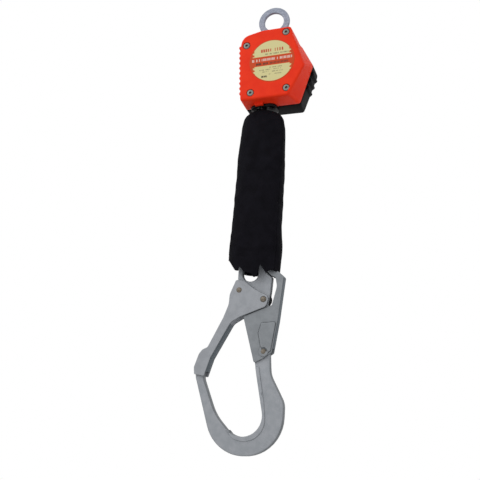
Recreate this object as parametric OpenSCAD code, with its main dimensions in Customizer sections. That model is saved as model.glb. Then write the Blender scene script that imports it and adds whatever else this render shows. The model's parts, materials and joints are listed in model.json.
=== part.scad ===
// Compact self retracting lifeline: webbing drum in a two-part case, textile absorber cover, scaffold hook.
// X runs to the right, Y from the front face to the back, Z up.
// The origin is the centre of the anchor eye's hole.

/* [Anchor eye] */
// Radius of the anchor eye's hole
eye_hole_r = 12.4; // [11:0.2:13.4]
// Outer radius of the anchor eye
eye_r = 19.8; // [18:0.2:21]
// Thickness of the anchor plate
plate_t = 4; // [3:0.5:4.8]
// Height of the eye's centre over the top of the case
eye_height = 19.3; // [18.5:0.1:24]

/* [Case] */
// Distance from the drum axis up to the top of the case
case_up = 42.2; // [41.5:0.1:52]
// Distance from the drum axis down to the bottom of the case
case_down = 48.3; // [47:0.1:60]
// Distance from the drum axis to the left wall
case_left = 40.4; // [40:0.1:50]
// Distance from the drum axis to the corner in the right flank
case_right = 45; // [44.5:0.1:56]
// Depth from the front face to the plane where the two shells meet
front_depth = 29; // [28:0.2:31]
// Depth of the rear shell
rear_depth = 24; // [23.6:0.2:30]
// Wall of both shells
wall = 3; // [2:0.1:3.2]
// Height of the grip ribs on the left wall
rib_h = 1.2; // [0.8:0.1:1.8]
// Number of grip ribs on the left wall
rib_count = 10; // [6:1:10]
// Diameter of the label disc
label_d = 56.6; // [40:0.2:58]
// Radius of a cover screw's head
screw_head_r = 4.2; // [3.4:0.1:4.4]
// Radius of a cover screw's shank
screw_r = 2; // [1.5:0.1:2.2]

/* [Drum] */
// Width of the webbing
web_w = 18; // [15:0.2:18.4]
// Thickness of the webbing
web_t = 1.6; // [1.2:0.1:2]
// Radius of the wound webbing
roll_r = 33; // [26:0.2:33.4]
// Radius of the drum's hub
hub_r = 10; // [9:0.1:13]
// Radius of the drum's flanges
flange_r = 35.4; // [34.8:0.1:36]
// Radius of the fixed main shaft
shaft_r = 5; // [4:0.1:5.4]
// Outer radius of the power spring's cup
cup_r = 29.2; // [25:0.1:29.4]
// Coils in the power spring
spring_turns = 9; // [5:1:11]
// Teeth inside the ratchet ring
teeth = 12; // [12:12:12]
// Angle that a pawl swings out
pawl_swing = 18; // [10:1:20]

/* [Lanyard] */
// Angle that the lanyard hangs at, off the case's upright edges
lean = 4.2; // [0:0.2:6]
// Distance of the webbing's mouth from the drum axis, to the left
mouth_x = 17; // [14:0.2:20]
// Length of the textile cover
sleeve_l = 198; // [180:1:240]
// Half width of the textile cover
sleeve_rx = 30; // [26:0.5:36]
// Half depth of the textile cover
sleeve_ry = 17.5; // [16.5:0.5:22]
// Length of the folded energy absorber
pack_l = 105; // [60:1:115]

/* [Hook] */
// Half thickness of the hook's eye and shank
body_h = 4; // [3:0.1:4.6]
// Half thickness of the hook's bowl
bowl_h = 5.5; // [4.6:0.1:6]
// Sheet thickness of the gate and of the lock lever
sheet = 2; // [1.5:0.1:2.2]
// Running clearance between the sheets of the hook
hook_gap = 0.3; // [0.2:0.05:0.4]
// Radius of the pivot rivets
rivet_r = 3; // [2.5:0.1:3.2]
// Half width of the slot for the webbing in the hook's eye
slot_r = 9.5; // [9.3:0.1:10.5]
// Height of the hook's top bar over the slot's lower centre
bar_up = 20; // [18:0.5:26]

/* [Hidden] */

$fn = 48;
eps = 1;            // how far a cutter stands past what it cuts
touch_gap = 0.3;    // clearance between pieces that only lie near each other
run_gap = 0.06;     // radial running clearance of a pin or shaft
arc_step = 12;      // degrees between points on a rounded corner

// Levels along Y
plate_y0 = -plate_t / 2;
plate_y1 = plate_t / 2;
face_y = -16;
join_y = face_y + front_depth;
back_y = join_y + rear_depth;
web_y = 14;                            // middle of the webbing
flange_t = 1.6;
drum_y0 = web_y - web_w / 2 - 0.6;     // inner faces of the drum's flanges
drum_y1 = web_y + web_w / 2 + 0.6;
pawl_y0 = drum_y1 + flange_t + touch_gap;
pawl_t = 3.1;
ring_y0 = drum_y1 + flange_t + 0.8;
frame_y0 = 30;
frame_t = 2.5;
cup_t = 1.2;
cup_y0 = face_y + wall + touch_gap;
lid_y1 = plate_y0 - 0.2;

// Places in X and Z
axis_z = -eye_height - case_up;
top_z = axis_z + case_up;
bottom_z = axis_z - case_down;
corner_z = axis_z + 1.9;               // corner in the right flank
screw_at = [[-32.1, 25.3], [18.2, 36.5], [-27.7, -39.3], [17.2, -38.5]];   // from the drum axis
spacer_at = [[-19, 34], [25.8, -30.6], [-32.2, -29.4]];                        // from the drum axis
spacer_r = 3;
boss_r = 4.5;
insert_r = 3;
neck_w = 26;
arbor_r = 8;
arbor_gap = 1;
bush_r = 7;
pawl_at = 20;                          // pawl pivots, from the drum axis
pawl_pin_r = 2;
pawl_l = 15;
ring_tip_r = 28;
ring_root_r = 31;
ring_r = 34;
tooth_gap_at = 28.5;                   // middle of a gap between teeth, degrees
label_t = 0.5;
guide_drop = 3.6;                      // how far the mouth guide stands below the case
buffer_top = 6.7;                      // top of the stop buffer, below the mouth
pack_top = 42;                         // top of the folded absorber, below the mouth
sleeve_top = 6.7;                      // top of the cover, below the mouth
sleeve_wall = 1.2;
eye_loop_gap = 0.4;                    // webbing loop round the hook's top bar

// Outlines are lists of [x, z, corner radius]
function flat(p) = [p[0], p[1]];
function unit(v) = v / norm(v);
function corner(a, b, c, r) = r <= 0 ? [b] :
    let (u = unit(a - b), v = unit(c - b), half = acos(u * v) / 2, mid = b + unit(u + v) * r / sin(half),
         s = b + u * r / tan(half) - mid, e = b + v * r / tan(half) - mid,
         from = atan2(s[1], s[0]), turn = (atan2(e[1], e[0]) - from + 540) % 360 - 180,
         n = max(2, ceil(abs(turn) / arc_step)))
    [for (i = [0 : n]) mid + r * [cos(from + turn * i / n), sin(from + turn * i / n)]];
function rounded(p) = let (n = len(p))
    [for (i = [0 : n - 1]) each corner(flat(p[(i + n - 1) % n]), flat(p[i]), flat(p[(i + 1) % n]), p[i][2])];
function round_at(x, z, r, n) = [for (i = [0 : n - 1]) [x + r * cos(360 * i / n), z + r * sin(360 * i / n)]];

// Case outline around the drum axis: where the shells meet, and at the front face
case_outline = [[-case_left, -case_down, 3], [28.3, -case_down, 4], [case_right, 1.9, 6],
    [24.6, case_up, 3], [-12, case_up, 40], [-36.8, case_up - 5, 14], [-case_left, 20, 14]];
face_outline = [[-case_left + 1, -case_down + 0.3, 3], [18.6, -case_down + 0.3, 4], [37, -15, 8],
    [23.8, case_up - 0.3, 3], [-12, case_up - 0.3, 40], [-36, case_up - 5.5, 13], [-case_left + 1, 20, 14]];

// Extrusion from y0 to y1 of an outline drawn in X and Z
module slab(y0, y1) {
    translate([0, y1, 0]) rotate([90, 0, 0]) linear_extrude(y1 - y0) children();
}

// Rod along Y
module rod(r, y0, y1, x = 0, z = 0) {
    translate([x, y0, z]) rotate([-90, 0, 0]) cylinder(r = r, h = y1 - y0);
}

// Tube along Y
module tube(r1, r0, y0, y1, x = 0, z = 0) {
    difference() {
        rod(r1, y0, y1, x, z);
        rod(r0, y0 - eps, y1 + eps, x, z);
    }
}

module at_axis() {
    translate([0, 0, axis_z]) children();
}

// Frame of the hanging lanyard: origin in the mouth, Z along the webbing
module lanyard() {
    translate([-mouth_x, web_y, bottom_z]) rotate([0, lean, 0]) children();
}

// ---- Case ----

module case_block(front, y0, y1, inset) {
    hull() {
        slab(front ? y0 : y0, front ? y0 + 0.5 : y1 - 4) offset(delta = -inset)
            polygon(rounded(front ? face_outline : case_outline));
        slab(front ? y0 + 10 : y1 - 0.5, y1) offset(delta = front ? -inset : -inset - 2)
            polygon(rounded(case_outline));
    }
}

module screw_places() {
    for (p = screw_at) translate([p[0], 0, p[1]]) children();
}

module mouth_cut(clear) {
    translate([-mouth_x, web_y, -case_down]) linear_extrude(30, center = true)
        square([28 + 2 * clear, 23 + 2 * clear], center = true);
}

module front_shell() {
    color("orangered") at_axis() difference() {
        union() {
            difference() {
                union() {
                    case_block(true, face_y, join_y, 0);
                    for (i = [0 : rib_count - 1])
                        rod(2, face_y + 2, join_y, -case_left - rib_h + 2, 24.5 - 6.9 * i);
                    translate([-mouth_x - 8, -7, -case_down - 2.6]) cube([10, 6, 4]);
                }
                difference() {
                    case_block(true, face_y + wall, join_y + eps, wall);
                    screw_places() rod(boss_r, face_y, join_y);
                }
            }
        }
        rod(label_d / 2 + 0.2, face_y - eps, face_y + label_t);
        screw_places() rod(screw_r + 0.2, face_y - eps, join_y + eps);
        screw_places() rod(screw_head_r + 0.2, face_y - eps, face_y + 2.4);
        mouth_cut(0.1);
        translate([-neck_w / 2 - touch_gap, plate_y0 - touch_gap, case_up - wall - 4])
            cube([neck_w + 2 * touch_gap, plate_t + 2 * touch_gap, wall + 10]);
    }
}

module rear_shell() {
    color("#1a181c") at_axis() difference() {
        union() {
            difference() {
                union() {
                    case_block(false, join_y, back_y, 0);
                    for (i = [0 : 2]) rear_rib(i);
                }
                difference() {
                    case_block(false, join_y - eps, back_y - wall, wall);
                    screw_places() rod(boss_r, join_y, back_y);
                }
            }
        }
        screw_places() rod(insert_r, join_y - eps, join_y + 8);
        mouth_cut(0.1);
    }
}

// Grip rib on the rear shell's lower right flank, a tooth that runs front to back
module rear_rib(i) {
    flank = unit([28.3, -case_down] - [case_right, 1.9]);
    foot = [case_right, 1.9] + flank * (4 + 10.8 * i);
    out = [-flank[1], flank[0]];
    slab(join_y + 2, back_y - 3)
        polygon([foot - out, foot + out * 3.2 + flank * 2, foot + out * 2.6 + flank * 5, foot - out + flank * 9]);
}

module label_disc() {
    color("#d6ce96") at_axis() rod(label_d / 2, face_y, face_y + label_t);
}

module cover_screws() {
    color("#969690") at_axis() screw_places() difference() {
        union() {
            rod(screw_head_r, face_y + 0.4, face_y + 2.4);
            rod(screw_r, face_y + 2.4, join_y + 7);
        }
        rod(2, face_y - eps, face_y + 1.8, $fn = 6);
    }
}

module thread_inserts() {
    color("goldenrod") at_axis() screw_places() tube(insert_r, screw_r, join_y, join_y + 8);
}

// ---- Frame ----

plate_left = -case_left + wall + 2.4;
plate_outline = [[-neck_w / 2, case_up - wall - 2.8, 1], [-20, case_up - wall - 2.8, 2], [-24, 31, 3],
    [-26.6, 21, 4], [plate_left, 10, 4], [plate_left, -33.2, 3], [28.2, -33.2, 2],
    [34.5, -12, 6], [35.5, 4, 8], [25, 27, 5], [23.5, 31.2, 2], [neck_w / 2, 31.2, 1]];

module frame_holes(y0, y1) {
    for (p = spacer_at) rod(1.6, y0 - eps, y1 + eps, p[0], p[1]);
}

module anchor_plate() {
    color("#828a96") difference() {
        union() {
            rod(eye_r, plate_y0, plate_y1);
            slab(plate_y0, plate_y1) translate([-neck_w / 2, axis_z + 26]) square([neck_w, -axis_z - 26 - 12]);
            at_axis() slab(plate_y0, plate_y1) polygon(rounded(plate_outline));
        }
        rod(eye_hole_r, plate_y0 - eps, plate_y1 + eps);
        at_axis() rod(arbor_r + arbor_gap, plate_y0 - eps, plate_y1 + eps);
        at_axis() frame_holes(plate_y0, plate_y1);
    }
}

module rear_frame_plate() {
    color("#828a96") at_axis() difference() {
        slab(frame_y0, frame_y0 + frame_t) polygon(rounded(plate_outline));
        rod(shaft_r, frame_y0 - eps, frame_y0 + frame_t + eps);
        frame_holes(frame_y0, frame_y0 + frame_t);
    }
}

module frame_spacers() {
    color("silver") at_axis() for (p = spacer_at) {
        rod(spacer_r, plate_y1, frame_y0, p[0], p[1]);
        rod(1.6, plate_y0 - 1.2, frame_y0 + frame_t + 1, p[0], p[1]);
    }
}

module main_shaft() {
    color("silver") at_axis() rod(shaft_r, cup_y0 - 0.1, frame_y0 + frame_t + 1.2);
}

module shaft_clip() {
    color("dimgray") at_axis() tube(shaft_r + 3, shaft_r, frame_y0 + frame_t, frame_y0 + frame_t + 1);
}

module spring_cup() {
    color("gainsboro") at_axis() difference() {
        rod(cup_r, cup_y0, lid_y1 - cup_t);
        rod(cup_r - cup_t, cup_y0 + cup_t, lid_y1);
        rod(shaft_r, cup_y0 - eps, lid_y1);
    }
}

module spring_cup_lid() {
    color("gainsboro") at_axis() tube(cup_r, arbor_r + arbor_gap, lid_y1 - cup_t, lid_y1);
}

// Flat spiral strip: the radius grows evenly with the angle
module power_spring() {
    r0 = arbor_r + touch_gap;
    pitch = (cup_r - cup_t - touch_gap - r0 - 0.5) / spring_turns;
    n = spring_turns * 24;
    inner = [for (i = [0 : n]) let (a = 360 * i / 24, r = r0 + pitch * i / 24) r * [cos(a), sin(a)]];
    outer = [for (i = [n : -1 : 0]) let (a = 360 * i / 24, r = r0 + 0.5 + pitch * i / 24) r * [cos(a), sin(a)]];
    color("steelblue") at_axis() slab(cup_y0 + cup_t + touch_gap, lid_y1 - cup_t - touch_gap)
        polygon(concat(inner, outer));
}

module ratchet_ring() {
    gap = 18;
    tooth = 360 / teeth;
    color("slategray") at_axis() difference() {
        rod(ring_r, ring_y0, frame_y0);
        rod(ring_tip_r, ring_y0 - eps, frame_y0 + eps);
        for (k = [0 : teeth - 1]) let (a = tooth_gap_at + tooth * k)
            slab(ring_y0 - eps, frame_y0 + eps) polygon(concat(
                [for (s = [-1 : 0.5 : 1]) ring_root_r * [cos(a + s * gap / 2), sin(a + s * gap / 2)]],
                [for (s = [1, -1]) (ring_tip_r - 2) * [cos(a + s * gap / 2), sin(a + s * gap / 2)]]));
    }
}

module mouth_guide() {
    color("#161418") translate([-mouth_x, web_y, bottom_z]) difference() {
        union() {
            linear_extrude(5) square([28, 23], center = true);
            translate([0, 0, -guide_drop]) linear_extrude(guide_drop) rounded_box(33, 27, 9);
        }
        translate([0, 0, -guide_drop - eps]) linear_extrude(20) rounded_box(10, web_w + 2, 2);
    }
}

module rounded_box(w, d, r) {
    polygon(rounded([[-w / 2, -d / 2, r], [w / 2, -d / 2, r], [w / 2, d / 2, r], [-w / 2, d / 2, r]]));
}

// ---- Drum ----

module drum_hub() {
    color("dimgray") at_axis() difference() {
        union() {
            rod(hub_r, drum_y0, drum_y1);
            rod(arbor_r, cup_y0 + cup_t + touch_gap, drum_y1 + flange_t);
        }
        rod(bush_r, cup_y0, drum_y1 + flange_t + eps);
    }
}

module drum_bushes() {
    color("peru") at_axis() {
        tube(bush_r, shaft_r + run_gap, cup_y0 + cup_t + touch_gap, plate_y0 - touch_gap);
        tube(bush_r, shaft_r + run_gap, drum_y1 - 8, drum_y1 + flange_t);
    }
}

module drum_flange_front() {
    color("lightslategray") at_axis() tube(flange_r, arbor_r, drum_y0 - flange_t, drum_y0);
}

module drum_flange_rear() {
    color("lightslategray") at_axis() difference() {
        rod(flange_r, drum_y1, drum_y1 + flange_t);
        rod(arbor_r, drum_y1 - eps, drum_y1 + flange_t + eps);
        for (s = [-1, 1]) rod(pawl_pin_r, drum_y1 - eps, drum_y1 + flange_t + eps, s * pawl_at);
    }
}

module webbing_roll() {
    color("#202024") at_axis() tube(roll_r, hub_r, web_y - web_w / 2, web_y + web_w / 2);
}

module pawl_pins() {
    color("silver") at_axis() for (s = [-1, 1]) rod(pawl_pin_r, drum_y1, frame_y0 - 0.4, s * pawl_at);
}

module pawl_springs() {
    color("steelblue") at_axis() for (s = [-1, 1])
        tube(pawl_pin_r + 1, pawl_pin_r + 0.2, pawl_y0 + pawl_t + 0.1, frame_y0 - 0.4, s * pawl_at);
}

// Pawl: a tapered arm from its pin to its nose
module pawl() {
    difference() {
        slab(pawl_y0, pawl_y0 + pawl_t) polygon(rounded([[pawl_at - 4, -4, 3.4], [pawl_at + 4, -4, 3.4],
            [pawl_at + 2.2, pawl_l, 1.2], [pawl_at - 2.5, pawl_l - 1.5, 2]]));
        rod(pawl_pin_r + run_gap, pawl_y0 - eps, pawl_y0 + pawl_t + eps, pawl_at);
    }
}

module pawl_a() {
    color("goldenrod") at_axis() pawl();
}

module pawl_b() {
    color("goldenrod") at_axis() rotate([0, 180, 0]) pawl();
}

// ---- Lanyard ----

// Webbing from its tangent on the roll to the mouth
module webbing_lead() {
    r = roll_r + web_t / 2 + touch_gap;
    mouth = [-mouth_x, -case_down];
    a = atan2(mouth[1], mouth[0]) - acos(r / norm(mouth));
    from = r * [cos(a), sin(a)];
    half = unit([mouth[1] - from[1], from[0] - mouth[0]]) * web_t / 2;
    color("#202024") at_axis() slab(web_y - web_w / 2, web_y + web_w / 2)
        polygon([from - half, from + half, mouth + half, mouth - half]);
}

// Webbing from the mouth down to the absorber: it grows longer as the line is pulled out
module webbing_strap() {
    color("#202024") lanyard() translate([-web_t / 2, -web_w / 2, -pack_top]) cube([web_t, web_w, pack_top - 0.8]);
}

module stop_buffer() {
    color("#2c2a2c") lanyard() translate([0, 0, -buffer_top - 6]) difference() {
        linear_extrude(6) rounded_box(14, web_w + 4, 3);
        translate([0, 0, -eps]) linear_extrude(8) square([web_t + 0.2, web_w + 0.2], center = true);
    }
}

module absorber_pack() {
    color("#26242a") lanyard() translate([0, 0, -pack_top - pack_l]) linear_extrude(pack_l)
        rounded_box(1.34 * sleeve_rx, 1.2 * sleeve_ry, 6);
}

// Webbing loop under the hook's top bar
module webbing_eye() {
    ri = body_h + eye_loop_gap;
    bar_z = -hook_drop + bar_up;
    top = -pack_top - pack_l;
    color("#202024") lanyard() translate([-hook_side, 0, 0]) {
        difference() {
            translate([0, 0, bar_z]) rotate([0, 90, 0]) cylinder(r = ri + web_t, h = web_w, center = true);
            translate([0, 0, bar_z]) rotate([0, 90, 0]) cylinder(r = ri, h = web_w + 2, center = true);
            translate([-web_w, -20, bar_z]) cube([2 * web_w, 40, 20]);
        }
        for (s = [-1, 1]) translate([-web_w / 2, s > 0 ? ri : -ri - web_t, bar_z]) cube([web_w, web_t, top - bar_z]);
    }
}

// Share of the length, of the half width and of the half depth at each level of the cover
sleeve_form = [[0, 0.4, 0.72], [0.014, 0.62, 0.8], [0.04, 0.8, 0.87], [0.12, 0.92, 0.94], [0.34, 0.98, 1], [0.6, 1, 1],
    [0.79, 1.02, 1], [0.89, 1.04, 0.98], [1, 0.94, 0.92]];

module sleeve_solid(inset, from, to) {
    hull() for (f = sleeve_form)
        translate([0, 0, -sleeve_top - from - f[0] * (sleeve_l - from - to) - (f[0] == 1 ? 0 : 0.05)])
            linear_extrude(0.05) polygon([for (i = [0 : 35])
                [(sleeve_rx * f[1] - inset) * cos(10 * i), (sleeve_ry * f[2] - inset) * sin(10 * i)]]);
}

module sleeve() {
    color("#15141a") lanyard() difference() {
        sleeve_solid(0, 0, 0);
        sleeve_solid(sleeve_wall, 1.5, -eps);
        translate([0, 0, -20]) linear_extrude(20) rounded_box(15.2, web_w + 5.2, 3.6);
    }
}

// ---- Hook ----

hook_side = 3;                                    // the hook's axis lies this far left of the webbing's
hook_drop = sleeve_top + sleeve_l + 6.5;          // slot's lower centre below the mouth
pivot_at = [18.8, -31.1];
stop_at = [-11.2, -20.8];
lever_at = [22.2, -91.2];
lever_y0 = body_h + hook_gap;
lever_y1 = lever_y0 + sheet;
gate_y0 = lever_y1 + hook_gap;
gate_y1 = gate_y0 + sheet;

module hook_frame() {
    lanyard() translate([-hook_side, 0, -hook_drop]) children();
}

body_outline = [[-15.4, bar_up + body_h, 3], [-15.2, -8, 7], [-6, -19, 8], [-5, -47, 8], [11, -99, 60],
    [30.8, -186.3, 23], [-8.5, -186.3, 23], [-31, -163.7, 60], [-49.4, -121, 20], [-43.9, -103, 2],
    [-49.5, -97.5, 4], [-56, -108, 6], [-58.4, -120.4, 20], [-28.7, -207.2, 44.4], [49.2, -207.2, 44.4],
    [48.6, -147, 22], [31.2, -116.5, 25], [28.9, -90, 10], [28.5, -50, 10], [24.2, -36, 6], [26, -22, 15],
    [25.6, -5.5, 3], [20, -1.5, 4], [15.6, 6, 8], [15.4, bar_up + body_h, 3]];

// The bowl, below the shank, is thicker than the eye
module bowl_zone() {
    polygon([[-70, -97], [-40, -97], [-20, -120], [0, -120], [50, -106], [70, -106], [70, -230], [-70, -230]]);
}

module hook_body() {
    color("#92969a") hook_frame() difference() {
        union() {
            slab(-body_h, body_h) difference() {
                polygon(rounded(body_outline));
                circle(r = slot_r);
                translate([-slot_r, 0]) square([2 * slot_r, 2 * bar_up]);
            }
            slab(-bowl_h, bowl_h) intersection() {
                polygon(rounded(body_outline));
                bowl_zone();
            }
            translate([-slot_r - 2, 0, bar_up]) rotate([0, 90, 0]) cylinder(r = body_h - 0.1, h = 2 * slot_r + 4);
        }
        for (p = [pivot_at, lever_at]) rod(rivet_r, -bowl_h - eps, bowl_h + eps, p[0], p[1]);
        spring_seat() cylinder(r = lever_coil_r + 0.1, h = 20);
    }
}

gate_outline = [[-15.8, -8.7, 2.5], [-22.4, -26, 12], [-22.8, -38, 20], [-28.4, -54, 20], [-45.2, -90, 2],
    [-50.5, -91, 3], [-54.5, -96.5, 8], [-59.4, -112, 6], [-58.4, -120.2, 1.5], [-46.3, -122, 1.5],
    [-40.2, -101, 10], [-18.6, -59, 12], [-8, -52.3, 15], [22.5, -39.5, 6], [25.3, -27.6, 5.5],
    [8, -20, 60], [-5.5, -9.5, 5]];

// Pressed channel: two cheeks and the web along the inner edge
module gate() {
    color("#94989c") hook_frame() difference() {
        union() {
            for (s = [-1, 1]) cheek(s, gate_y0, gate_y1) polygon(rounded(gate_outline));
            slab(-gate_y0, gate_y0) intersection() {
                difference() {
                    polygon(rounded(gate_outline));
                    translate([-0.9, 0.43] * sheet) polygon(rounded(gate_outline));
                }
                polygon([[-17, -61], [-25, -61], [-46, -101], [-48.6, -116.5], [-17, -116.5]]);
            }
        }
        rod(rivet_r + run_gap, -gate_y1 - eps, gate_y1 + eps, pivot_at[0], pivot_at[1]);
        rod(rivet_r, -gate_y1 - eps, gate_y1 + eps, stop_at[0], stop_at[1]);
    }
}

module cheek(s, y0, y1) {
    slab(s > 0 ? y0 : -y1, s > 0 ? y1 : -y0) children();
}

lever_outline = [[-4.6, -51.4, 1.5], [11.6, -104.6, 2], [22.6, -98.6, 8], [31.9, -91.6, 1], [36.7, -54.4, 20],
    [39.9, -5, 2.5], [33.2, 2.2, 6], [24, 4, 6], [20, 2.6, 1.2], [26.6, -3.2, 5], [31, -4.5, 3], [33.4, -15, 15],
    [28.6, -37.5, 2], [18, -41.5, 4]];

// Palm lever: two cheeks joined by a spine along the right edge and over the top
module lock_lever() {
    color("#8a8e92") hook_frame() difference() {
        union() {
            for (s = [-1, 1]) cheek(s, lever_y0, lever_y1) polygon(rounded(lever_outline));
            slab(-lever_y0, lever_y0) intersection() {
                difference() {
                    polygon(rounded(lever_outline));
                    translate([-0.95, -0.6] * sheet) polygon(rounded(lever_outline));
                }
                polygon([[29.5, 10], [29.5, -0.5], [32.6, -3.6], [32.6, -40], [31, -87], [50, -87], [50, 10]]);
            }
        }
        rod(rivet_r + run_gap, -lever_y1 - eps, lever_y1 + eps, lever_at[0], lever_at[1]);
    }
}

module rivet(p, reach) {
    rod(rivet_r, -reach, reach, p[0], p[1]);
    for (s = [-1, 1]) cheek(s, reach, reach + 0.8) translate(p) circle(r = rivet_r + 0.3);
}

module gate_pivot_rivet() {
    color("#827a6e") hook_frame() rivet(pivot_at, gate_y1 + 0.1);
}

module gate_stop_rivet() {
    color("#827a6e") hook_frame() rivet(stop_at, gate_y1);
}

module lever_rivet() {
    color("#827a6e") hook_frame() rivet(lever_at, lever_y1 + 0.1);
}

// Torsion spring: a coil on the pivot rivet and a leg that bears on the gate
module gate_spring() {
    color("#101012") hook_frame() {
        difference() {
            union() {
                cheek(-1, lever_y0 - 0.2, gate_y0 - 0.2) translate(pivot_at) circle(r = rivet_r + 2.2);
                cheek(-1, lever_y0 - 0.2, lever_y0 + 1.4) polygon([pivot_at + [0, 5], pivot_at + [-6.6, 0],
                    pivot_at + [0, -5]]);
            }
            rod(rivet_r + 0.1, -20, 20, pivot_at[0], pivot_at[1]);
        }
    }
}

// Coil that pushes the lever's spine off the shank, in a blind hole
lever_coil_r = 2.6;

module spring_seat() {
    translate([24, 0, -58]) rotate([0, 90, 0]) children();
}

module lever_spring() {
    color("#101012") hook_frame() spring_seat() difference() {
        cylinder(r = lever_coil_r, h = 6.6);
        translate([0, 0, -eps]) cylinder(r = lever_coil_r - 0.8, h = 10);
    }
}

front_shell();
rear_shell();
label_disc();
cover_screws();
thread_inserts();
anchor_plate();
rear_frame_plate();
frame_spacers();
main_shaft();
shaft_clip();
spring_cup();
spring_cup_lid();
power_spring();
ratchet_ring();
mouth_guide();
drum_hub();
drum_flange_front();
drum_flange_rear();
drum_bushes();
webbing_roll();
pawl_pins();
pawl_springs();
pawl_a();
pawl_b();
webbing_lead();
webbing_strap();
stop_buffer();
absorber_pack();
webbing_eye();
sleeve();
hook_body();
gate();
gate_pivot_rivet();
gate_stop_rivet();
gate_spring();
lock_lever();
lever_rivet();
lever_spring();
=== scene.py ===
"""Self retracting lifeline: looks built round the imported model. Shapes are drawn in millimetres."""

import json
from math import pi, radians

import bmesh
import bpy
import numpy as np
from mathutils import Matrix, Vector
from mathutils.geometry import delaunay_2d_cdt


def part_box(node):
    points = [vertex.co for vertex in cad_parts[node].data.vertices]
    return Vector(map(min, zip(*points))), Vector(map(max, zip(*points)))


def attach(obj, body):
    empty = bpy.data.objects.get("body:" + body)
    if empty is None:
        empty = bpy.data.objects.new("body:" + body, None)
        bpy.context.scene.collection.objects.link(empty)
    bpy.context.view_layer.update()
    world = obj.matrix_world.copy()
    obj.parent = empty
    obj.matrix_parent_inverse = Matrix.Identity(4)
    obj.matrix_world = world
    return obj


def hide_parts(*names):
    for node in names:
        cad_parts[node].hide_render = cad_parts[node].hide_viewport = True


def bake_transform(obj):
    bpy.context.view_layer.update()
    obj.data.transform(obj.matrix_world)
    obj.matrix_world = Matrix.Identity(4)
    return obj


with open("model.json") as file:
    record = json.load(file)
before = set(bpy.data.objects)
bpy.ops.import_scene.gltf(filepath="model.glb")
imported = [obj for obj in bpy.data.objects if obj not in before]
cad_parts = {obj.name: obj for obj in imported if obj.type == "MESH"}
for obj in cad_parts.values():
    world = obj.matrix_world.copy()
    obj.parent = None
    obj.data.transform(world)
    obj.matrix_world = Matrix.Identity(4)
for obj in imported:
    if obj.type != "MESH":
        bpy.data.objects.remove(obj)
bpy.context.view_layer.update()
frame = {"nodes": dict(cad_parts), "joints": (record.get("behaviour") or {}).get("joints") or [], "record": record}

MM = 0.001
DEPTH = np.array([0.0, 1.0, 0.0])

# ---- Places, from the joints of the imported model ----

JOINTS = {joint["name"]: joint for joint in frame["joints"]}


def joint_at(name):
    """Where a joint is, in millimetres."""
    return np.array(JOINTS[name]["pos_m"]) / MM


BAR_UP = 20.0                      # the hook's top bar, above the middle of its slot
MOUTH = joint_at("lanyard_swing")
UPWARD = -np.array(JOINTS["payout"]["axis"])
SIDEWAYS = np.array(JOINTS["hook_swing"]["axis"])
SQUARE_X = np.array([1.0, 0.0, 0.0])
SQUARE_Z = np.array([0.0, 0.0, 1.0])
DRUM = joint_at("drum_spin") * [1, 0, 1]

EYE_PLACE = (np.zeros(3), SQUARE_X, SQUARE_Z)
CASE_PLACE = (DRUM, SQUARE_X, SQUARE_Z)
LANYARD_PLACE = (MOUTH, SIDEWAYS, UPWARD)
HOOK_PLACE = (joint_at("hook_swing") - BAR_UP * UPWARD, SIDEWAYS, UPWARD)

# ---- Driving sizes ----

FACE_Y, JOIN_Y = -16.0, 13.0
REAR_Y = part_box("rear_shell")[1].y / MM + 1.6   # the rounded back stands just past the flat one
CASE_DOWN = 48.3
LABEL_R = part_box("label_disc")[1].x / MM - DRUM[0]
LABEL_T = 0.5
SCREWS = [(-32.1, 25.3), (18.2, 36.5), (-27.7, -39.3), (17.2, -38.5)]
HEAD_R = 4.2
EYE_R, EYE_HOLE_R, PLATE_T = 19.8, 12.4, 4.0
RIVET_R = 3.0
BODY_H, BOWL_H = 4.0, 5.5
LEVER_Y = (4.3, 6.3)
GATE_Y = (6.6, 8.6)
SLEEVE_TOP = 6.7
RIM_LIFT = 0.9                     # the bowl's inner rim, over the body's face
GRIP_LIFT = 1.1                    # the lever's grip, over its cheek
SPRING_TURNS, SPRING_R, WIRE_R = 3.4, 7.2, 0.9
SPRING_HALF = 3.2                  # from the middle plane to the coil's last turn
FLOOR_HALF, FLOOR_Z = 7.0, -1.15   # metres
PIVOT, STOP, LEVER_PIN = (18.8, -31.1), (-11.2, -20.8), (22.2, -91.2)

# Outlines: [x, z, corner radius], anticlockwise as seen from the front
CASE_OUTLINE = [[-41.4, -48.3, 3], [28.3, -48.3, 4], [46.0, 0.4, 8], [33.0, 27.0, 0.8],
                [31.2, 28.2, 0.8], [24.8, 44, 3], [-12, 44, 40], [-37.8, 38.8, 14], [-41.4, 21, 14]]
FACE_OUTLINE = [[-41, -48, 3], [18.6, -48, 4], [40, -12.2, 7], [29.4, 23.6, 3],
                [28.2, 25.4, 3], [24, 43.6, 3], [-12, 43.6, 40], [-37.4, 38.4, 13], [-41, 21, 14]]
REAR_OUTLINE = [[-41.2, -48.3, 3], [27.8, -49.4, 4], [46.8, -1.4, 8], [32.8, 26.9, 0.8],
                [31.0, 28.1, 0.8], [24.6, 43.8, 3], [-12, 43.8, 40], [-37.6, 38.6, 14], [-41.2, 21, 14]]
NECK_OUTLINE = [[-12.4, -36, 1], [12.4, -36, 1], [12.4, -15, 1], [-12.4, -15, 1]]
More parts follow.
